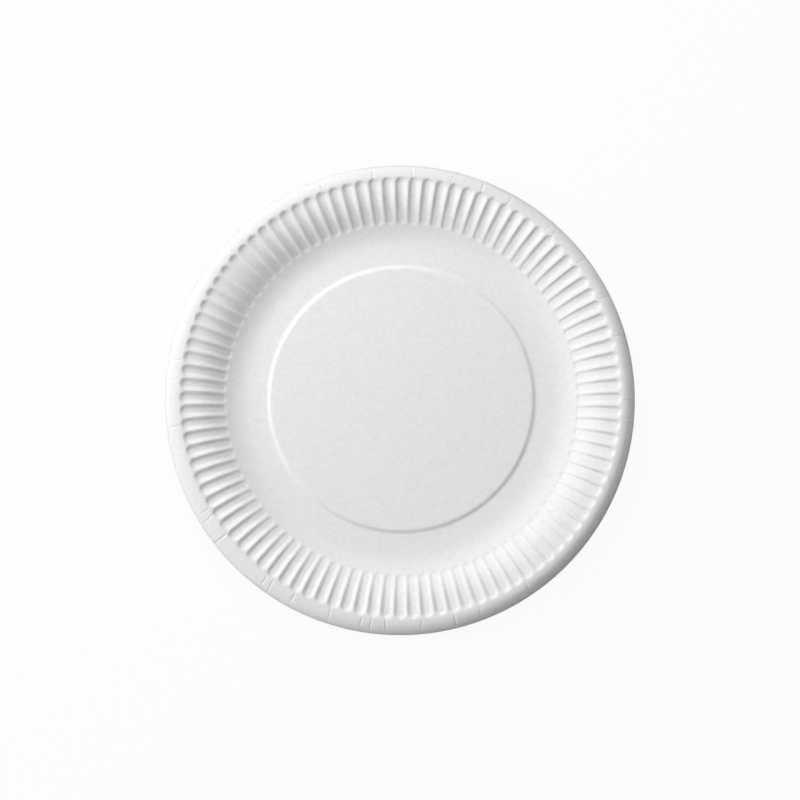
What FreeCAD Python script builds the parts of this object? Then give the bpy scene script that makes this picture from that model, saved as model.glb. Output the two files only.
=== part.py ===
"""Round fluted paper plate, pressed in one stroke from a flat round of white board.

Millimetres. The origin is the centre of the face that it rests on, and +Z is the plate's axis.
From the axis outwards the sheet is a raised centre disc, a flat well, a foot curve up into a
steep wall, a shoulder curve down to a gently rising brim, a level crest, and a bead that
turns down to a lip. Flutes are pressed across the wall, shoulder and brim: the crests
between them keep the line of the section, and each flute's floor lies below that line. The
board has one thickness, so the underside follows the upper face everywhere. The pressing
creases the board, so each flute is made of flat and ruled faces that meet in creases.
"""
import FreeCAD, Part
import Sketcher
import math
import os
from FreeCAD import Vector

AXIS = Vector(0, 0, 1)
CENTRE = Vector(0, 0, 0)

# Driving dimensions: name, value and what it measures. Lengths in mm, angles in degrees.
SIZES = [
    ("board", 0.45, "thickness of the board"),
    ("disc_radius", 64.75, "middle of the step round the centre disc"),
    ("disc_rise", 1.1, "height of the centre disc above the well"),
    ("step_width", 2.0, "radial width of that step"),
    ("well_flat", 10.75, "radial width of the well's flat, from the step to the foot curve"),
    ("foot_radius", 18.0, "foot curve, on the upper face"),
    ("foot_facets", 2, "facets of the foot curve inside the flutes"),
    ("wall_angle", 41.0, "slope of the steep wall"),
    ("wall_run", 4.2, "radial width of the steep wall"),
    ("shoulder_radius", 19.5, "shoulder curve, on the upper face"),
    ("brim_angle", 7.0, "slope of the brim"),
    ("brim_run", 4.85, "radial width of the brim, up to the crest"),
    ("crest_width", 0.95, "level width of the crest between the flutes and the bead"),
    ("bead_radius", 8.5, "curve over the bead, on the upper face"),
    ("bead_turn", 32.0, "downward slope where the bead's curve tightens into the lip"),
    ("bead_facets", 2, "facets of the bead's curve"),
    ("lip_radius", 4.2, "curve of the turned-down lip, on the upper face"),
    ("lip_angle", 72.0, "downward slope at the cut edge of the lip"),
    ("lip_facets", 2, "facets of the lip's curve"),
    ("flute_count", 100, "flutes round the plate"),
    ("flute_start", 31.5, "slope of the foot curve where the flutes start"),
    ("flute_lead", 1.3, "radial length of a flute's closed inner end"),
    ("flute_end", 2.1, "radial length of a flute's closed outer end"),
    ("inner_depth", 0.6, "depth of a flute behind its inner end"),
    ("outer_depth", 1.25, "depth of a flute along the brim"),
    ("inner_floor", 1.5, "width of a flute's floor behind its inner end"),
    ("outer_floor", 2.4, "width of a flute's floor along the brim"),
]


def make_sheet(doc):
    """The spreadsheet that holds the driving dimensions, one named cell a row."""
    sheet = doc.addObject("Spreadsheet::Sheet", "Sizes")
    for row, (name, value, meaning) in enumerate(SIZES, start=1):
        sheet.set(f"A{row}", name)
        sheet.set(f"B{row}", str(value))
        sheet.set(f"C{row}", meaning)
        sheet.setAlias(f"B{row}", name)
    doc.recompute()
    return sheet


class Section:
    """Section of the plain sheet, from the well outwards along the crests of the flutes.

    Points are radius and height. Each stretch starts where the one before it ends. Slopes
    are in radians, rising outwards as positive, and falls are slopes the other way. A depth
    is measured square to the sheet, below its upper face.
    """

    def __init__(self, sheet):
        for name, _, _ in SIZES:
            setattr(self, name, float(getattr(sheet, name)))
        self.half_pitch = math.pi / self.flute_count
        self.wall = math.radians(self.wall_angle)
        self.brim = math.radians(self.brim_angle)
        self.start = math.radians(self.flute_start)
        self.turn = math.radians(self.bead_turn)
        self.cut = math.radians(self.lip_angle)

        self.step_foot = self.disc_radius + self.step_width / 2
        self.well_radius = self.step_foot + self.well_flat
        self.foot_centre = (self.well_radius, self.board + self.foot_radius)
        self.wall_foot = self.on_foot(self.wall)
        self.wall_top = rising(self.wall_foot, self.wall, self.wall_run)
        self.shoulder_centre = (
            self.wall_top[0] + self.shoulder_radius * math.sin(self.wall),
            self.wall_top[1] - self.shoulder_radius * math.cos(self.wall),
        )
        self.brim_foot = self.on_shoulder(self.brim)
        self.crest = rising(self.brim_foot, self.brim, self.brim_run)
        self.bead_centre = (self.crest[0] + self.crest_width, self.crest[1] - self.bead_radius)
        inset = self.bead_radius - self.lip_radius
        self.lip_centre = (
            self.bead_centre[0] + inset * math.sin(self.turn),
            self.bead_centre[1] + inset * math.cos(self.turn),
        )

    def on_foot(self, slope, depth=0.0):
        """Point of the foot curve with this slope."""
        radius, height = self.foot_centre
        reach = self.foot_radius + depth
        return (radius + reach * math.sin(slope), height - reach * math.cos(slope))

    def on_shoulder(self, slope):
        """Point of the shoulder curve with this slope."""
        radius, height = self.shoulder_centre
        reach = self.shoulder_radius
        return (radius - reach * math.sin(slope), height + reach * math.cos(slope))

    def on_crest_line(self, radius):
        """Point and slope of the upper face at this radius, between the well and the crest."""
        if radius < self.wall_foot[0]:
            slope = math.asin((radius - self.well_radius) / self.foot_radius)
            return self.on_foot(slope), slope
        if radius < self.wall_top[0]:
            return rising(self.wall_foot, self.wall, radius - self.wall_foot[0]), self.wall
        if radius < self.brim_foot[0]:
            slope = math.asin((self.shoulder_centre[0] - radius) / self.shoulder_radius)
            return self.on_shoulder(slope), slope
        return rising(self.brim_foot, self.brim, radius - self.brim_foot[0]), self.brim

    def on_bead(self, fall, depth=0.0):
        """Point of the bead's curve, or past its end of the lip's curve, with this fall."""
        if fall <= self.turn:
            radius, height = self.bead_centre
            reach = self.bead_radius - depth
        else:
            radius, height = self.lip_centre
            reach = self.lip_radius - depth
        return (radius + reach * math.sin(fall), height + reach * math.cos(fall))

    def bead_line(self, depth):
        """Corners of the bead and lip from the crest to the cut edge, facet by facet."""
        falls = steps(0, self.turn, self.bead_facets)
        falls += steps(self.turn, self.cut, self.lip_facets)[1:]
        return [self.on_bead(fall, depth) for fall in falls]


def steps(first, last, count):
    """Evenly spaced values from the first to the last, with that many gaps between them."""
    return [first + (last - first) * index / count for index in range(int(count) + 1)]


def rising(point, slope, run):
    """Point of the section that lies a radial run further out, up a slope."""
    radius, height = point
    return (radius + run, height + run * math.tan(slope))


def lowered(point, slope, depth):
    """Point of the section that lies a depth below another, square to the slope there."""
    radius, height = point
    return (radius + depth * math.sin(slope), height - depth * math.cos(slope))


def polar(point, angle):
    """A radius and height of the section, placed at an angle about the axis."""
    radius, height = point
    return Vector(radius * math.cos(angle), radius * math.sin(angle), height)


def origin_plane(body, role):
    """One of a body's own origin planes."""
    return next(item for item in body.Origin.OriginFeatures if item.Role == role)


def turned_body(doc, name, corners):
    """Body turned about the axis from a closed outline, each corner set by two expressions."""
    body = doc.addObject("PartDesign::Body", name)
    sketch = body.newObject("Sketcher::SketchObject", name + "Section")
    sketch.AttachmentSupport = (origin_plane(body, "XZ_Plane"), [""])
    sketch.MapMode = "FlatFace"
    count = len(corners)
    places = [Vector(number, number * (count - number), 0) for number in range(1, count + 1)]
    for index in range(count):
        finish = places[(index + 1) % count]
        sketch.addGeometry(Part.LineSegment(places[index], finish), False)
    for index in range(count):
        sketch.addConstraint(Sketcher.Constraint("Coincident", index, 2, (index + 1) % count, 1))
    for index, (across, up) in enumerate(corners):
        for kind, expression in (("DistanceX", across), ("DistanceY", up)):
            number = sketch.addConstraint(Sketcher.Constraint(kind, -1, 1, index, 1, 1.0))
            sketch.setExpression(f"Constraints[{number}]", expression)
    turn = body.newObject("PartDesign::Revolution", name + "Turn")
    turn.Profile = sketch
    turn.ReferenceAxis = (sketch, ["V_Axis"])
    turn.Angle = 360
    body.Tip = turn
    return body


def make_centre(doc):
    """The raised centre disc and its step, which end where the flat of the well starts."""
    inside = "Sizes.disc_radius - Sizes.step_width / 2"
    outside = "Sizes.disc_radius + Sizes.step_width / 2"
    shift = "Sizes.board * tan(atan(Sizes.disc_rise / Sizes.step_width) / 2)"
    corners = [
        ("0", "Sizes.disc_rise"),
        (f"{inside} - {shift}", "Sizes.disc_rise"),
        (f"{outside} - {shift}", "0"),
        (outside, "Sizes.board"),
        (inside, "Sizes.board + Sizes.disc_rise"),
        ("0", "Sizes.board + Sizes.disc_rise"),
    ]
    return turned_body(doc, "Centre", corners)


def well_edge(section, depth):
    """Corner of the step's foot, where the centre ends and the flat of the well starts."""
    tilt = math.atan(section.disc_rise / section.step_width)
    return (section.step_foot - depth * math.tan(tilt / 2), section.board - depth)


def crest_edge(section, depth):
    """Corner between the sloping brim and the level crest."""
    radius, height = section.crest
    return (radius + depth * math.tan(section.brim / 2), height - depth)


def round_outline(point):
    """Circle through a point of the section."""
    radius, height = point
    return Part.Wire(Part.makeCircle(radius, Vector(0, 0, height)))


def pleated_outline(section, point, places):
    """Closed outline of straight stretches, with a corner at each place in every pitch.

    A place counts half pitches from the middle of a flute.
    """
    corners = [
        polar(point, (2 * index + place) * section.half_pitch)
        for index in range(int(section.flute_count))
        for place in places
    ]
    return Part.makePolygon(corners + corners[:1])


def level_face(outer, inner):
    """Level face between two closed outlines."""
    return Part.makeFace([outer, inner], "Part::FaceMakerBullseye")


def turned_face(start, finish):
    """Cone that a straight stretch of the section turns about the axis."""
    edge = Part.makeLine(polar(start, 0), polar(finish, 0))
    return edge.revolve(CENTRE, AXIS, 360)


def flat_face(*corners):
    """Plane face through its corners."""
    return Part.Face(Part.makePolygon([*corners, corners[0]]))


def ruled_face(near_crest, near_floor, far_floor, far_crest):
    """One side of a flute, ruled between its cross-sections."""
    near = Part.makeLine(near_crest, near_floor)
    far = Part.makeLine(far_crest, far_floor)
    return Part.makeRuledSurface(near, far)


def flute_stations(section):
    """Radii of a flute's cross-sections, from behind its inner end to its outer end."""
    middle = section.on_shoulder((section.wall + section.brim) / 2)
    return [
        section.on_foot(section.start)[0] + section.flute_lead,
        section.wall_top[0],
        middle[0],
        section.brim_foot[0],
        section.crest[0] - section.flute_end,
    ]


def flute_corners(section, below):
    """Corners of each cross-section of a flute, on the side of the sheet that far below.

    Across the flute they are one crest, the two edges of the floor and the other crest.
    """
    half = section.half_pitch
    radii = flute_stations(section)
    rows = []
    for radius in radii:
        point, slope = section.on_crest_line(radius)
        share = min((radius - radii[0]) / (section.brim_foot[0] - radii[0]), 1)
        depth = section.inner_depth + share * (section.outer_depth - section.inner_depth)
        floor = section.inner_floor + share * (section.outer_floor - section.inner_floor)
        side = math.atan2(depth, radius * half - floor / 2)
        crest = lowered(point, slope, below / math.cos(side))
        bed = lowered(point, slope, depth + below)
        turn = (floor / 2 + below * math.tan(side / 2)) / bed[0]
        rows.append([polar(crest, -half), polar(bed, -turn), polar(bed, turn), polar(crest, half)])
    return rows


def pitch_faces(section, below):
    """Faces of one pitch from the foot to the crest, on the side of the sheet that far below.

    A flute has a flat floor and two sides ruled from crest to floor. Its inner end slopes up
    to the foot curve, and its outer end closes like an arch under the crest.
    """
    half = section.half_pitch
    foot = [section.on_foot(slope, below) for slope in steps(0, section.start, section.foot_facets)]
    faces = [
        flat_face(polar(low, -half), polar(low, half), polar(high, half), polar(high, -half))
        for low, high in zip(foot, foot[1:])
    ]
    rows = flute_corners(section, below)
    left, right = polar(foot[-1], -half), polar(foot[-1], half)
    first = rows[0]
    faces.append(flat_face(left, right, first[2], first[1]))
    faces.append(flat_face(left, first[1], first[0]))
    faces.append(flat_face(right, first[3], first[2]))
    for near, far in zip(rows, rows[1:]):
        faces.append(flat_face(near[1], near[2], far[2], far[1]))
        faces.append(ruled_face(near[0], near[1], far[1], far[0]))
        faces.append(ruled_face(near[3], near[2], far[2], far[3]))
    last = rows[-1]
    edge = crest_edge(section, below)
    left, tip, right = (polar(edge, angle) for angle in (-half, 0, half))
    faces.append(flat_face(last[1], last[2], tip))
    for crest, floor, corner in ((last[0], last[1], left), (last[3], last[2], right)):
        faces.append(flat_face(crest, floor, tip))
        faces.append(flat_face(crest, tip, corner))
    return faces


def rim_solid(section):
    """The sheet from the well outwards: two sides that lie one board apart, closed by edges."""
    faces = []
    for below in (0.0, section.board):
        foot = pleated_outline(section, section.on_foot(0, below), (1,))
        faces.append(level_face(foot, round_outline(well_edge(section, below))))
        line = section.bead_line(below)
        crest = pleated_outline(section, crest_edge(section, below), (0, 1))
        faces.append(level_face(round_outline(line[0]), crest))
        faces += [turned_face(start, finish) for start, finish in zip(line, line[1:])]
        for index in range(int(section.flute_count)):
            for face in pitch_faces(section, below):
                face.rotate(CENTRE, AXIS, index * math.degrees(2 * section.half_pitch))
                faces.append(face)
    faces.append(turned_face(well_edge(section, 0), well_edge(section, section.board)))
    faces.append(turned_face(section.bead_line(0)[-1], section.bead_line(section.board)[-1]))
    sheet = Part.makeCompound(faces)
    sheet.sewShape(1e-4)
    solid = Part.makeSolid(sheet.Shells[0])
    return solid if solid.Volume > 0 else solid.reversed()


def make_rim(doc, sheet):
    """The sheet outside the centre, whose pleats no sketch, sweep or primitive gives."""
    rim = doc.addObject("Part::Feature", "Rim")
    rim.Shape = rim_solid(Section(sheet))
    rim.Placement = FreeCAD.Placement()
    return rim


def make_plate(doc):
    """Centre and rim joined into the one sheet that the plate is."""
    sheet = make_sheet(doc)
    plate = doc.addObject("Part::Fuse", "Plate")
    plate.Base = make_centre(doc)
    plate.Tool = make_rim(doc, sheet)
    plate.Refine = False
    plate.Label = "plate"
    plate.Placement = FreeCAD.Placement()
    return plate


def check(doc, pieces):
    """Stop if an object of the document failed or a piece is not one valid solid."""
    for item in doc.Objects:
        if "Invalid" in item.State or "Error" in item.State:
            raise RuntimeError(f"{item.Label} failed to compute")
    for piece in pieces:
        shape = piece.Shape
        if shape.isNull() or not shape.isValid() or len(shape.Solids) != 1:
            raise RuntimeError(f"{piece.Label} is not one valid solid")


def main():
    doc = FreeCAD.newDocument("PaperPlate")
    pieces = [make_plate(doc)]
    doc.recompute()
    check(doc, pieces)
    os.makedirs("parts", exist_ok=True)
    for piece in pieces:
        piece.Shape.exportStep(os.path.join("parts", piece.Label + ".step"))
        box = piece.Shape.BoundBox
        print(piece.Label, "volume", round(piece.Shape.Volume, 1), "faces", len(piece.Shape.Faces))
        print("size", round(box.XLength, 2), round(box.YLength, 2), round(box.ZLength, 2))


main()
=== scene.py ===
"""White fluted paper plate on a pale floor, seen from straight above.

The plate is one pressed sheet of board. Its surface is worked out in plate coordinates: the
distance along the section from the axis, and the angle about the axis. Lengths are in metres.
"""
import math

import bpy
import numpy as np
from bpy.props import FloatProperty, FloatVectorProperty, IntProperty, PointerProperty
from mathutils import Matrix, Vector


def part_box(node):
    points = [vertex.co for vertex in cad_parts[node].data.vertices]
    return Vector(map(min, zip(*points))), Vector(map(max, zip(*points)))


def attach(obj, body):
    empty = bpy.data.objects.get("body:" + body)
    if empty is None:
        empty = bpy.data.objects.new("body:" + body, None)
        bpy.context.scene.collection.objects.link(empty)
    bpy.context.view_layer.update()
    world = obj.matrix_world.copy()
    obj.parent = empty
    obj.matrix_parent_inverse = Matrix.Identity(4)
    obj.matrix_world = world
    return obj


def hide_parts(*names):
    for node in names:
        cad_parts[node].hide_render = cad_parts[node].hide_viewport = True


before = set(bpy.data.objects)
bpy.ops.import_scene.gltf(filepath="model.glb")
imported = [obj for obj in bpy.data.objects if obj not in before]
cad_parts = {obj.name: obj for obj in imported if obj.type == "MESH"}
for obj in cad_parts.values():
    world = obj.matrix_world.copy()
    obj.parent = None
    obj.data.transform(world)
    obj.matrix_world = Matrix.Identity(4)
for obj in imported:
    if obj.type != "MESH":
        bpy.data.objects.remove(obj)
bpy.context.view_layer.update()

NODE = "plate"
BODY = "root"
CAD_LOW, CAD_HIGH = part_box(NODE)
OUTER_RADIUS = (CAD_HIGH.x - CAD_LOW.x) / 2
RIM_HEIGHT = CAD_HIGH.z - CAD_LOW.z
MM = 0.001

bl_info = {
    "name": "Fluted paper plate",
    "version": (1, 0, 0),
    "blender": (4, 5, 0),
    "location": "View3D > Sidebar > Paper plate",
    "description": "Presses a fluted paper plate and lays it on a studio floor",
    "category": "Add Mesh",
}

# Short folds that the press leaves where the rim is turned down: angle in degrees from +X,
# depth in mm, and how far along the bead the fold runs, where 1 is the cut edge.
FOLDS = [
    (16.0, 0.22, 0.5), (26.5, 0.26, 0.6), (37.5, 0.20, 0.5), (47.0, 0.24, 0.7),
    (49.3, 0.16, 0.5), (61.0, 0.22, 0.6), (68.75, 0.28, 0.7), (76.8, 0.20, 0.5),
    (86.8, 0.26, 0.8), (97.2, 0.22, 0.6), (110.5, 0.30, 0.8), (131.0, 0.20, 0.6),
    (152.5, 0.22, 0.6), (170.0, 0.20, 0.6), (187.0, 0.24, 0.7), (210.0, 0.22, 0.5),
    (211.75, 0.24, 0.7), (218.0, 0.40, 1.0), (233.0, 0.26, 0.6), (235.0, 0.22, 0.8),
    (241.75, 0.22, 0.6), (251.5, 0.20, 0.6), (260.0, 0.22, 0.5), (262.5, 0.20, 0.7),
    (266.0, 0.24, 0.6), (275.5, 0.20, 0.6), (283.75, 0.28, 0.7), (290.5, 0.20, 0.5),
    (304.25, 0.26, 0.7), (321.25, 0.24, 0.6), (339.0, 0.24, 0.6), (355.0, 0.22, 0.7),
    (359.5, 0.18, 0.5),
]

# A fold leans sideways by a share of its run: this largest share, times the sine of the fold's
# number times a step, plus a start.
FOLD_LEAN = 0.12
LEAN_STEP = 2.4
LEAN_START = 1.0

# How much further the rim is bent down than the even bead, at every 45 degrees from +X, as a
# share of the droop.
BENDS = [1.05, 0.15, 0.0, 0.0, 0.0, -0.4, 0.45, 1.35]

# Columns of the grid across a flute, in pitches from its middle line, and across a fold, in
# halves of its width.
FLUTE_COLUMNS = [-0.5, -0.455, -0.38, -0.30, -0.22, -0.13, 0.0, 0.13, 0.22, 0.30, 0.38, 0.455]
FOLD_COLUMNS = [-1.0, -0.45, 0.0, 0.45, 1.0]

# Round soft lamps: name, power in W, diameter in m, direction from +X and height in degrees.
LAMPS = [
    ("top_lamp", 4.65, 0.45, 60, 82), ("side_lamp_left", 4.4, 0.40, 169, 30),
    ("side_lamp_back", 4.05, 0.40, 114, 30), ("low_lamp_front", 1.6, 0.35, 225, 15),
    ("low_lamp_back", 0.6, 0.35, 55, 15),
]


def length(name, value, description):
    """A length that the sidebar shows in the scene's units."""
    return FloatProperty(
        name=name, description=description, default=value, min=0.0, precision=5,
        unit="LENGTH", subtype="DISTANCE",
    )


def slope(name, degrees, description):
    """An angle that the sidebar shows in degrees."""
    return FloatProperty(
        name=name, description=description, default=math.radians(degrees),
        unit="ROTATION", subtype="ANGLE",
    )


class PlateSizes(bpy.types.PropertyGroup):
    """Sizes of the pressed sheet."""

    radius: length("Outer radius", OUTER_RADIUS, "Radius of the rim")
    board: length("Board", 0.45 * MM, "Thickness of the board")
    disc_radius: length("Disc radius", 65.0 * MM, "Middle of the step round the centre disc")
    disc_rise: length("Disc rise", 1.15 * MM, "Height of the centre disc above the well")
    step_slope: slope("Step slope", 38, "Steepest slope of the step")
    step_width: length("Step width", 2.45 * MM, "Radial width of the step")
    well_radius: length("Well radius", 74.0 * MM, "Where the foot curve starts")
    foot_radius: length("Foot curve", 24 * MM, "Radius of the foot curve")
    wall_slope: slope("Wall slope", 37.5, "Slope of the steep wall")
    wall_run: length("Wall run", 3.3 * MM, "Radial width of the steep wall")
    shoulder_radius: length("Shoulder curve", 24 * MM, "Radius of the shoulder curve")
    brim_slope: slope("Brim slope", 10.5, "Slope of the brim")
    brim_run: length("Brim run", 5.60 * MM, "Radial width of the brim")
    crest_run: length("Crest run", 0.95 * MM, "Radial width of the crest")
    bead_radius: length("Bead curve", 10.0 * MM, "Radius of the curve over the bead")
    bead_turn: slope("Bead turn", 26, "Fall where the bead tightens into the lip")
    lip_radius: length("Lip curve", 3.68 * MM, "Radius of the turned-down lip")
    lip_turn: slope("Lip turn", 72, "Fall at the cut edge")
    droop: length("Droop", 2.2 * MM, "How far the rim hangs lower where it is bent down most")
    flutes_centre: FloatVectorProperty(
        name="Flutes' centre", description="Centre of the flutes, off the outline's centre",
        default=(0.295 * MM, 1.22 * MM), size=2, precision=5, unit="LENGTH", subtype="XYZ",
    )
    disc_centre: FloatVectorProperty(
        name="Disc's centre", description="Centre of the disc, off the outline's centre",
        default=(0.585 * MM, 0.54 * MM), size=2, precision=5, unit="LENGTH", subtype="XYZ",
    )


class FluteSizes(bpy.types.PropertyGroup):
    """Sizes of the flutes pressed across the wall."""

    count: IntProperty(name="Flutes", description="Flutes round the plate", default=100, min=3)
    turn: slope("Turn", -0.18, "Direction of the first flute from +X")
    inner_end: length("Inner end", 85.6 * MM, "Radius where the flutes start")
    outer_end: length("Outer end", 108.6 * MM, "Radius where the flutes end")
    inner_depth: length("Inner depth", 0.5 * MM, "Depth of a flute at its inner end")
    outer_depth: length("Outer depth", 1.22 * MM, "Depth of a flute along the brim")
    crest_half: length("Half crest", 0.1 * MM, "Half the width of the crest between two flutes")
    floor_share: FloatProperty(
        name="Floor share", description="Share of a flute's half width that is flat floor",
        default=0.38, min=0.0, max=0.9,
    )
    skew: FloatProperty(
        name="Skew", description="How much narrower the flutes' sides are that face the low side",
        default=0.17, min=0.0, max=0.5,
    )
    skew_side: slope("Skew side", -54, "Direction that the narrower sides face, from +X")
    twist: FloatProperty(
        name="Twist", description="How much narrower the side before each crest is all round",
        default=0.08, min=0.0, max=0.5,
    )
    blunt: FloatProperty(
        name="Blunt", description="How many times steeper the inner end is than a round one",
        default=1.4, min=1.0, max=4.0,
    )
    deepening: FloatProperty(
        name="Deepening", description="How many times sooner than at its end a flute is fully deep",
        default=1.45, min=1.0, max=4.0,
    )
    rounding: FloatProperty(
        name="Rounding", description="Share of a flute's side that is rounded at each end",
        default=0.26, min=0.05, max=0.5,
    )
    fold_half: length("Half fold", 0.42 * MM, "Half the width of a fold in the bead")
    fold_scale: FloatProperty(
        name="Fold scale", description="Depth of the folds over the depths in their table",
        default=1.4, min=0.0, max=3.0,
    )


class BoardFinish(bpy.types.PropertyGroup):
    """Look of the uncoated white board."""

    white: FloatVectorProperty(
        name="White", description="Colour of the board", default=(0.80, 0.80, 0.80),
        subtype="COLOR", size=3, min=0.0, max=1.0,
    )
    roughness: FloatProperty(
        name="Roughness", description="Mattness", default=0.85,
        min=0.0, max=1.0, subtype="FACTOR",
    )
    shine: FloatProperty(
        name="Shine", description="Strength of the faint gloss", default=0.25,
        min=0.0, max=1.0, subtype="FACTOR",
    )
    mottle: FloatProperty(
        name="Mottle", description="Share by which the pulp is lighter or darker", default=0.045,
        min=0.0, max=1.0, subtype="FACTOR",
    )
    fibre: length("Fibre", 1.1 * MM, "Size of the fibre relief")
    fibre_depth: length("Fibre depth", 0.03 * MM, "Height of the fibre relief")


class StageLook(bpy.types.PropertyGroup):
    """Floor, light and camera."""

    floor: FloatVectorProperty(
        name="Floor", description="Colour of the floor", default=(0.72, 0.72, 0.72),
        subtype="COLOR", size=3, min=0.0, max=1.0,
    )
    floor_half: length("Half floor", 3.0, "Half the width of the floor")
    floor_glow: FloatProperty(
        name="Floor white", description="Share of plain white in the floor that the camera sees",
        default=0.94, min=0.0, max=1.0, subtype="FACTOR",
    )
    sky: FloatProperty(
        name="Sky", description="Strength of the even light", default=0.02, min=0.0,
    )
    lamp_distance: length("Lamp distance", 1.0, "Distance of the lamps from the plate")
    camera_distance: length("Camera distance", 4.0, "Height of the camera above the floor")
    camera_shift: FloatVectorProperty(
        name="Camera shift", description="Camera off the plate's axis, in the photograph's pixels",
        default=(-0.2, 0.5), size=2,
    )
    photo_pixels: IntProperty(name="Pixels", description="Width of the photograph", default=800)
    outline_pixels: FloatProperty(
        name="Outline", description="Radius of the plate's outline, in the photograph's pixels",
        default=235.0,
    )


def section_stretches(sizes, flutes):
    """Stretches of the section outwards: length, end slope, rows above, rows below.

    The slope goes evenly from one stretch's end slope to the next one's, so a stretch is a
    straight line where they are equal and a round arc where they differ. The disc and the well
    have a short stretch next to the step, which keeps their shading flat.
    """
    step_curve, step_straight = step_lengths(sizes)
    wall, brim = sizes.wall_slope, sizes.brim_slope
    disc = sizes.disc_radius - sizes.step_width / 2
    well = sizes.well_radius - sizes.disc_radius - sizes.step_width / 2
    disc_edge, well_edge, brim_inner = 0.015, 0.1, 0.35
    before_flutes = flutes.inner_end - 0.7 * MM
    lead = math.asin((before_flutes - sizes.well_radius) / sizes.foot_radius)
    brim_length = sizes.brim_run / math.cos(brim)
    bead_rest = sizes.lip_turn - sizes.bead_turn
    return [
        (disc * (1 - disc_edge), 0, 1, 1),
        (disc * disc_edge, 0, 1, 0),
        (step_curve, -sizes.step_slope, 2, 1),
        (step_straight, -sizes.step_slope, 1, 1),
        (step_curve, 0, 2, 1),
        (well * well_edge, 0, 1, 0),
        (well * (1 - well_edge), 0, 1, 1),
        (sizes.foot_radius * lead, lead, 4, 3),
        (sizes.foot_radius * (wall - lead), wall, 8, 2),
        (sizes.wall_run / math.cos(wall), wall, 4, 1),
        (sizes.shoulder_radius * (wall - brim), brim, 6, 3),
        (brim_length * brim_inner, brim, 2, 1),
        (brim_length * (1 - brim_inner), brim, 7, 2),
        (sizes.crest_run, 0, 2, 1),
        (sizes.bead_radius * sizes.bead_turn, -sizes.bead_turn, 5, 2),
        (sizes.lip_radius * bead_rest, -sizes.lip_turn, 4, 2),
    ]


def step_lengths(sizes):
    """Lengths of one curve and of the straight part of the step round the centre disc.

    Two curves of radius R and a straight part L at slope A give the step's width and rise:
    width = 2 R sin A + L cos A, and rise = 2 R (1 - cos A) + L sin A.
    """
    angle = sizes.step_slope
    matrix = np.array([
        [2 * math.sin(angle), math.cos(angle)],
        [2 * (1 - math.cos(angle)), math.sin(angle)],
    ])
    radius, straight = np.linalg.solve(matrix, [sizes.step_width, sizes.disc_rise])
    return radius * angle, straight


def section_rows(sizes, flutes):
    """Radius, height and slope of the upper face at each row, and which rows the underside has.

    The section is followed from the axis outwards: radius and height are the sums of the
    cosine and the sine of the slope over the distance gone, in many fine parts a stretch. A
    stretch's rows stand evenly along it, and the underside has some of them, evenly picked.
    """
    fine = 60
    radius, height = 0.0, sizes.board + sizes.disc_rise
    here = 0.0
    rows = [(radius, height, here)]
    below = [True]
    for run, there, count, under in section_stretches(sizes, flutes):
        bend = here + (there - here) * (np.arange(fine) + 0.5) / fine
        across = radius + np.append(0, np.cumsum(np.cos(bend))) * run / fine
        up = height + np.append(0, np.cumsum(np.sin(bend))) * run / fine
        shares = np.arange(1, count + 1) / count
        marks = np.arange(fine + 1) / fine
        rows.extend(zip(
            np.interp(shares, marks, across),
            np.interp(shares, marks, up),
            here + (there - here) * shares,
        ))
        kept = np.zeros(count, bool)
        if under:
            kept[np.round(np.linspace(count / under, count, under)).astype(int) - 1] = True
        below.extend(kept)
        radius, height, here = across[-1], up[-1], there
    return np.array(rows), np.array(below)


def columns(flutes):
    """Angles of the grid's columns: the same places in every flute, and more at each fold.

    Both sets are sorted together, and a column that has the next one closer than a small share
    of a fold's half width is left out.
    """
    full_turn = 2 * math.pi
    pitch = full_turn / flutes.count
    even = np.add.outer(np.arange(flutes.count), FLUTE_COLUMNS) * pitch + flutes.turn
    half = flutes.fold_half / OUTER_RADIUS
    marks = np.radians([angle for angle, _, _ in FOLDS])
    extra = np.add.outer(marks, half * np.array(FOLD_COLUMNS))
    angles = np.sort(np.mod(np.concatenate([even.ravel(), extra.ravel()]), full_turn))
    apart = np.diff(angles, append=angles[0] + full_turn)
    closest = 0.2 * half
    return angles[apart > closest]


def ease(share):
    """Smooth step from 0 to 1: 3 s^2 - 2 s^3, held at the ends."""
    share = np.clip(share, 0, 1)
    return share * share * (3 - 2 * share)


def ramp(share, rounding):
    """Straight slope from 0 to 1 with rounded ends.

    Over the first and last part, as long as the rounding, the slope grows and fades evenly.
    """
    share = np.clip(share, 0, 1)
    start = np.minimum(share, rounding) ** 2 / (2 * rounding)
    middle = np.clip(share - rounding, 0, 1 - 2 * rounding)
    end = np.clip(share - 1 + rounding, 0, rounding)
    return (start + middle + end - end ** 2 / (2 * rounding)) / (1 - rounding)


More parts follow.
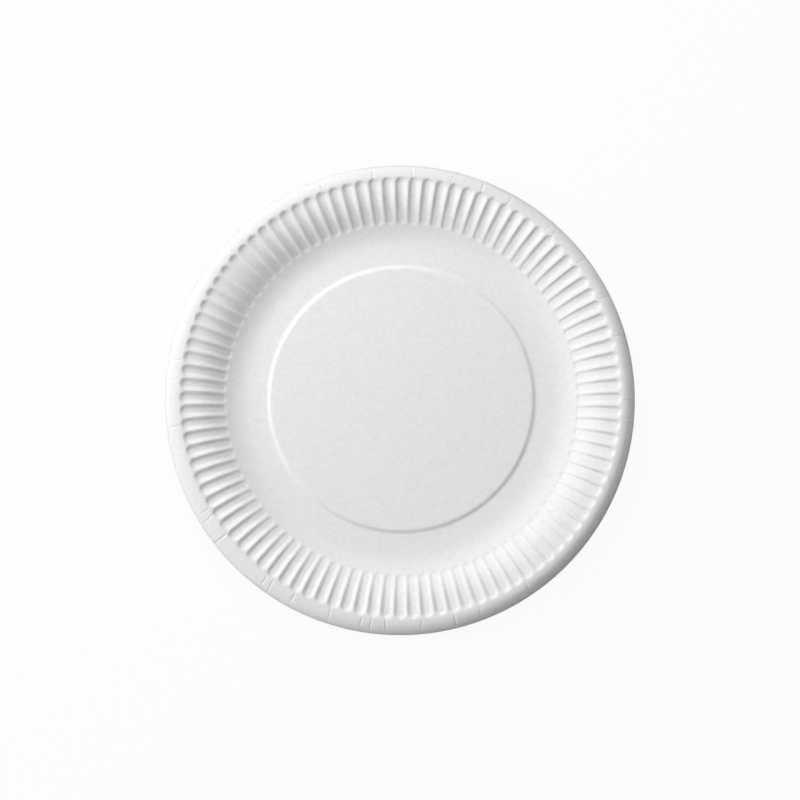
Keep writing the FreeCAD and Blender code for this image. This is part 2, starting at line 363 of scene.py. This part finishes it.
def flute_depth(radius, angle, flutes):
    """Depth of the flutes below the plain section.

    A flute is a slot with round ends: with t the distance from its middle line, over its half
    width, the depth is full up to the floor's edge and climbs to nothing at t = 1. The floor
    reaches further on one side of the middle line than on the other, which makes the side
    that it reaches towards narrower and steeper: by the twist all round, less the skew times
    the sine of the angle from here to the skew side.
    """
    pitch = 2 * math.pi / flutes.count
    turn = (np.mod((angle - flutes.turn) / pitch + 0.5, 1) - 0.5) * pitch
    half = radius * pitch / 2 - flutes.crest_half
    inner = flutes.inner_end + (flutes.inner_end * pitch / 2 - flutes.crest_half) / flutes.blunt
    outer = flutes.outer_end - flutes.outer_end * pitch / 2 + flutes.crest_half
    beyond = np.maximum(inner - radius, 0) * flutes.blunt + np.maximum(radius - outer, 0)
    reach = np.hypot(radius * turn, beyond) / np.maximum(half, MM)
    uneven = flutes.twist - flutes.skew * np.sin(flutes.skew_side - angle)
    floor = flutes.floor_share + uneven * np.sign(turn)
    share = ramp((1 - reach) / (1 - floor), flutes.rounding)
    along = ease((radius - inner) / (outer - inner) * flutes.deepening)
    depth = flutes.inner_depth + (flutes.outer_depth - flutes.inner_depth) * along
    return depth * share


def fold_depth(radius, angle, sizes, flutes):
    """Depth of the short folds in the bead.

    Each fold is a V across, with depth falling evenly to nothing at its half width. It fades
    in from the flutes' ends and out past its own reach along the bead.
    """
    depth = np.zeros(np.broadcast(radius, angle).shape)
    start = flutes.outer_end - 0.3 * MM
    fade_in, fade_out = MM, 1.5 * MM
    for number, (place, deep, reach) in enumerate(FOLDS):
        lean = FOLD_LEAN * math.sin(LEAN_STEP * number + LEAN_START)
        line = math.radians(place) + lean * (radius - start) / sizes.radius
        across = np.abs(np.mod(angle - line + math.pi, 2 * math.pi) - math.pi) * radius
        stop = start + reach * (sizes.radius - start)
        window = ease((radius - start) / fade_in) * ease(1 + (stop - radius) / fade_out)
        valley = np.clip(1 - across / flutes.fold_half, 0, 1)
        depth += deep * flutes.fold_scale * MM * window * valley
    return depth


def rim_droop(radius, angle, sizes, flutes):
    """How far the rim hangs below the even bead.

    Round the plate it passes smoothly through the bends, and across the bead it grows with the
    cube of the distance from the flutes' ends.
    """
    steps = len(BENDS)
    place = np.mod(angle / (2 * math.pi), 1) * steps
    left = np.floor(place).astype(int) % steps
    share = ease(place - np.floor(place))
    bends = np.array(BENDS)
    around = bends[left] * (1 - share) + bends[(left + 1) % steps] * share
    along = np.maximum(radius - flutes.outer_end, 0) / (sizes.radius - flutes.outer_end)
    return sizes.droop * around * along ** 3


def upper_grid(sizes, flutes):
    """Points of the upper face on a grid of rows and columns, and which rows the underside has.

    A point lies on the section at its row, is pressed in square to it by the flutes and folds,
    hangs lower by the droop, and is turned about a centre that moves from the disc's to the
    flutes' and on to the outline's.
    """
    rows, below = section_rows(sizes, flutes)
    angles = columns(flutes)
    radius, height, bend = (column[:, None] for column in rows.T)
    depth = flute_depth(radius, angles[None, :], flutes)
    depth = depth + fold_depth(radius, angles[None, :], sizes, flutes)
    across = radius + depth * np.sin(bend)
    up = height - depth * np.cos(bend) - rim_droop(radius, angles[None, :], sizes, flutes)
    stops = [flutes.inner_end, (flutes.inner_end + flutes.outer_end) / 2, flutes.outer_end]
    centre_x, centre_y = (
        np.interp(radius, stops + [sizes.radius], [disc, flute, flute, 0])
        for disc, flute in zip(sizes.disc_centre, sizes.flutes_centre)
    )
    x = centre_x + across * np.cos(angles)
    y = centre_y + across * np.sin(angles)
    return np.stack([x, y, up], axis=-1), below


def upward_normals(grid):
    """Unit normals of the grid.

    Each is the cross product of the grid's steps from row to row and from column to column,
    over that product's length.
    """
    outwards = np.gradient(grid, axis=0)
    around = np.roll(grid, -1, axis=1) - np.roll(grid, 1, axis=1)
    normal = np.cross(outwards, around)
    normal[0] = (0, 0, 1)
    smallest = 1e-12
    return normal / np.maximum(np.linalg.norm(normal, axis=-1, keepdims=True), smallest)


def band_faces(first, second, count):
    """Four-sided faces between two rings of that many points."""
    here = np.arange(count)
    there = (here + 1) % count
    return np.stack([first + here, second + here, second + there, first + there], axis=1)


def sheet_mesh(name, sizes, flutes):
    """Closed mesh of the sheet: the upper face, the cut edge and the underside.

    The underside lies one board below the upper face, square to it, and no point is let below
    the floor. Rings of four-sided faces join the rows, and a fan of triangles closes each pole.
    """
    grid, below = upper_grid(sizes, flutes)
    under = (grid - sizes.board * upward_normals(grid))[below][:0:-1]
    upper = grid[1:]
    rings = np.concatenate([upper, under])
    count = rings.shape[1]
    top = len(rings) * count
    centre = [grid[0, 0], grid[0, 0] - (0, 0, sizes.board)]
    points = np.concatenate([rings.reshape(-1, 3), centre])
    points[:, 2] = np.maximum(points[:, 2], 0)
    bands = [band_faces(row * count, (row + 1) * count, count) for row in range(len(rings) - 1)]
    here = np.arange(count)
    there = (here + 1) % count
    last = top - count
    caps = [
        np.stack([np.full(count, top), here, there], axis=1),
        np.stack([last + here, np.full(count, top + 1), last + there], axis=1),
    ]
    faces = np.concatenate(bands).tolist() + np.concatenate(caps).tolist()
    mesh = bpy.data.meshes.new(name)
    mesh.from_pydata(points, [], faces)
    mesh.shade_smooth()
    mesh.update()
    return mesh


def node(tree, kind, **values):
    """A new shader node with its properties set."""
    made = tree.nodes.new(kind)
    for name, value in values.items():
        setattr(made, name, value)
    return made


def noise(tree, place, scale, detail, roughness):
    """Noise over the piece's own coordinates, and the socket that gives it."""
    made = node(tree, "ShaderNodeTexNoise")
    made.inputs["Scale"].default_value = scale
    made.inputs["Detail"].default_value = detail
    made.inputs["Roughness"].default_value = roughness
    tree.links.new(place.outputs["Object"], made.inputs["Vector"])
    return made.outputs["Fac"]


def board_material(finish):
    """Uncoated white board: a faint mottle of pulp in the colour and a soft fibre relief."""
    material = bpy.data.materials.new("uncoated white board")
    material.use_nodes = True
    tree = material.node_tree
    shader = tree.nodes["Principled BSDF"]
    shader.inputs["Roughness"].default_value = finish.roughness
    shader.inputs["Specular IOR Level"].default_value = finish.shine
    place = node(tree, "ShaderNodeTexCoord")
    pulp = noise(tree, place, scale=0.5 / finish.fibre, detail=6, roughness=0.7)
    tone = node(tree, "ShaderNodeMapRange")
    tone.inputs["From Min"].default_value = 0.3
    tone.inputs["From Max"].default_value = 0.7
    tone.inputs["To Min"].default_value = 1 - finish.mottle
    tone.inputs["To Max"].default_value = 1 + finish.mottle
    tree.links.new(pulp, tone.inputs["Value"])
    colour = node(tree, "ShaderNodeVectorMath", operation="SCALE")
    colour.inputs[0].default_value = finish.white
    tree.links.new(tone.outputs["Result"], colour.inputs["Scale"])
    tree.links.new(colour.outputs["Vector"], shader.inputs["Base Color"])
    fibre = noise(tree, place, scale=1 / finish.fibre, detail=5, roughness=0.65)
    relief = node(tree, "ShaderNodeBump")
    relief.inputs["Strength"].default_value = 1.0
    relief.inputs["Distance"].default_value = finish.fibre_depth
    tree.links.new(fibre, relief.inputs["Height"])
    tree.links.new(relief.outputs["Normal"], shader.inputs["Normal"])
    return material


def floor_material(look):
    """Matt pale floor that the camera sees as nearly white, with the plate's shadow on it."""
    material = bpy.data.materials.new("pale floor")
    material.use_nodes = True
    tree = material.node_tree
    shader = tree.nodes["Principled BSDF"]
    shader.inputs["Base Color"].default_value = (*look.floor, 1)
    shader.inputs["Roughness"].default_value = 1.0
    shader.inputs["Specular IOR Level"].default_value = 0.0
    white = node(tree, "ShaderNodeEmission")
    white.inputs["Strength"].default_value = 1.0
    share = node(tree, "ShaderNodeMath", operation="MULTIPLY")
    share.inputs[1].default_value = look.floor_glow
    pick = node(tree, "ShaderNodeMixShader")
    tree.links.new(seen_directly(tree), share.inputs[0])
    tree.links.new(share.outputs[0], pick.inputs["Fac"])
    tree.links.new(shader.outputs[0], pick.inputs[1])
    tree.links.new(white.outputs[0], pick.inputs[2])
    tree.links.new(pick.outputs[0], tree.nodes["Material Output"].inputs["Surface"])
    return material


def seen_directly(tree):
    """Socket that is 1 for the camera's own rays and for those that gloss and glass send on."""
    path = node(tree, "ShaderNodeLightPath")
    first = node(tree, "ShaderNodeMath", operation="MAXIMUM")
    both = node(tree, "ShaderNodeMath", operation="MAXIMUM")
    tree.links.new(path.outputs["Is Camera Ray"], first.inputs[0])
    tree.links.new(path.outputs["Is Glossy Ray"], first.inputs[1])
    tree.links.new(first.outputs[0], both.inputs[0])
    tree.links.new(path.outputs["Is Transmission Ray"], both.inputs[1])
    return both.outputs[0]


class PLATE_OT_press_sheet(bpy.types.Operator):
    """Press the fluted sheet and give it its white board"""

    bl_idname = "plate.press_sheet"
    bl_label = "Press the plate"

    def execute(self, context):
        scene = context.scene
        mesh = sheet_mesh("pressed_sheet", scene.plate_sizes, scene.flute_sizes)
        if not mesh.polygons:
            raise RuntimeError("the pressed sheet has no faces")
        sheet = bpy.data.objects.new("pressed_sheet", mesh)
        scene.collection.objects.link(sheet)
        mesh.materials.append(board_material(scene.board_finish))
        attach(sheet, BODY)
        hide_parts(NODE)
        return {"FINISHED"}


class PLATE_OT_lay_stage(bpy.types.Operator):
    """Lay the floor, hang the soft lamps and point the camera straight down"""

    bl_idname = "plate.lay_stage"
    bl_label = "Lay the stage"

    def execute(self, context):
        scene = context.scene
        look = scene.stage_look
        half = look.floor_half
        mesh = bpy.data.meshes.new("floor")
        corners = [(-half, -half, 0), (half, -half, 0), (half, half, 0), (-half, half, 0)]
        mesh.from_pydata(corners, [], [(0, 1, 2, 3)])
        mesh.materials.append(floor_material(look))
        floor = bpy.data.objects.new("floor", mesh)
        scene.collection.objects.link(floor)
        for name, power, size, azimuth, height in LAMPS:
            lamp = self.soft_lamp(name, power, size)
            self.hang_lamp(scene, look, lamp, math.radians(azimuth), math.radians(height))
        self.light_sky(scene, look)
        self.place_camera(scene, look)
        scene.view_settings.view_transform = "Standard"
        return {"FINISHED"}

    def soft_lamp(self, name, power, size):
        """A round soft lamp of that power and diameter."""
        lamp = bpy.data.lights.new(name, "AREA")
        lamp.shape = "DISK"
        lamp.size = size
        lamp.energy = power
        return lamp

    def hang_lamp(self, scene, look, lamp, azimuth, height):
        """Hangs the lamp so that it looks at the plate, itself out of the camera's sight."""
        holder = bpy.data.objects.new(lamp.name, lamp)
        level = math.cos(height)
        towards = Vector((
            level * math.cos(azimuth), level * math.sin(azimuth), math.sin(height),
        ))
        holder.location = towards * look.lamp_distance
        holder.rotation_euler = towards.to_track_quat("Z", "Y").to_euler()
        holder.visible_camera = False
        scene.collection.objects.link(holder)

    def light_sky(self, scene, look):
        """Even white light from all round, which the camera sees as plain white."""
        world = bpy.data.worlds.new("studio")
        world.use_nodes = True
        tree = world.node_tree
        tree.nodes.clear()
        even = node(tree, "ShaderNodeBackground")
        even.inputs["Strength"].default_value = look.sky
        white = node(tree, "ShaderNodeBackground")
        white.inputs["Strength"].default_value = 1.0
        for item in (even, white):
            item.inputs["Color"].default_value = (1, 1, 1, 1)
        pick = node(tree, "ShaderNodeMixShader")
        output = node(tree, "ShaderNodeOutputWorld")
        tree.links.new(seen_directly(tree), pick.inputs["Fac"])
        tree.links.new(even.outputs[0], pick.inputs[1])
        tree.links.new(white.outputs[0], pick.inputs[2])
        tree.links.new(pick.outputs[0], output.inputs["Surface"])
        scene.world = world

    def place_camera(self, scene, look):
        """Camera over the plate, with the outline as large as in the photograph.

        The lens is the sensor's width times the distance to the rim, over the width in view.
        """
        scale = OUTER_RADIUS / look.outline_pixels
        camera = bpy.data.cameras.new("camera")
        view = look.photo_pixels * scale
        camera.lens = camera.sensor_width / view * (look.camera_distance - RIM_HEIGHT)
        camera.clip_end = 3 * look.camera_distance
        holder = bpy.data.objects.new("camera", camera)
        across, along = (shift * scale for shift in look.camera_shift)
        holder.location = (across, along, look.camera_distance)
        scene.collection.objects.link(holder)
        scene.camera = holder


class PLATE_PT_sidebar(bpy.types.Panel):
    """Lists the plate's sizes and the steps that make it"""

    bl_label = "Paper plate"
    bl_idname = "PLATE_PT_sidebar"
    bl_space_type = "VIEW_3D"
    bl_region_type = "UI"
    bl_category = "Paper plate"

    def draw(self, context):
        layout = self.layout
        scene = context.scene
        for group in (scene.plate_sizes, scene.flute_sizes, scene.board_finish, scene.stage_look):
            box = layout.box()
            for name in group.__annotations__:
                box.prop(group, name)
        layout.operator(PLATE_OT_press_sheet.bl_idname)
        layout.operator(PLATE_OT_lay_stage.bl_idname)


GROUPS = {
    "plate_sizes": PlateSizes,
    "flute_sizes": FluteSizes,
    "board_finish": BoardFinish,
    "stage_look": StageLook,
}
CLASSES = (*GROUPS.values(), PLATE_OT_press_sheet, PLATE_OT_lay_stage, PLATE_PT_sidebar)


def register():
    for item in CLASSES:
        bpy.utils.register_class(item)
    for name, group in GROUPS.items():
        setattr(bpy.types.Scene, name, PointerProperty(type=group))


def unregister():
    for name in GROUPS:
        delattr(bpy.types.Scene, name)
    for item in reversed(CLASSES):
        bpy.utils.unregister_class(item)


def main():
    register()
    bpy.ops.plate.press_sheet()
    bpy.ops.plate.lay_stage()


if __name__ == "__main__":
    main()
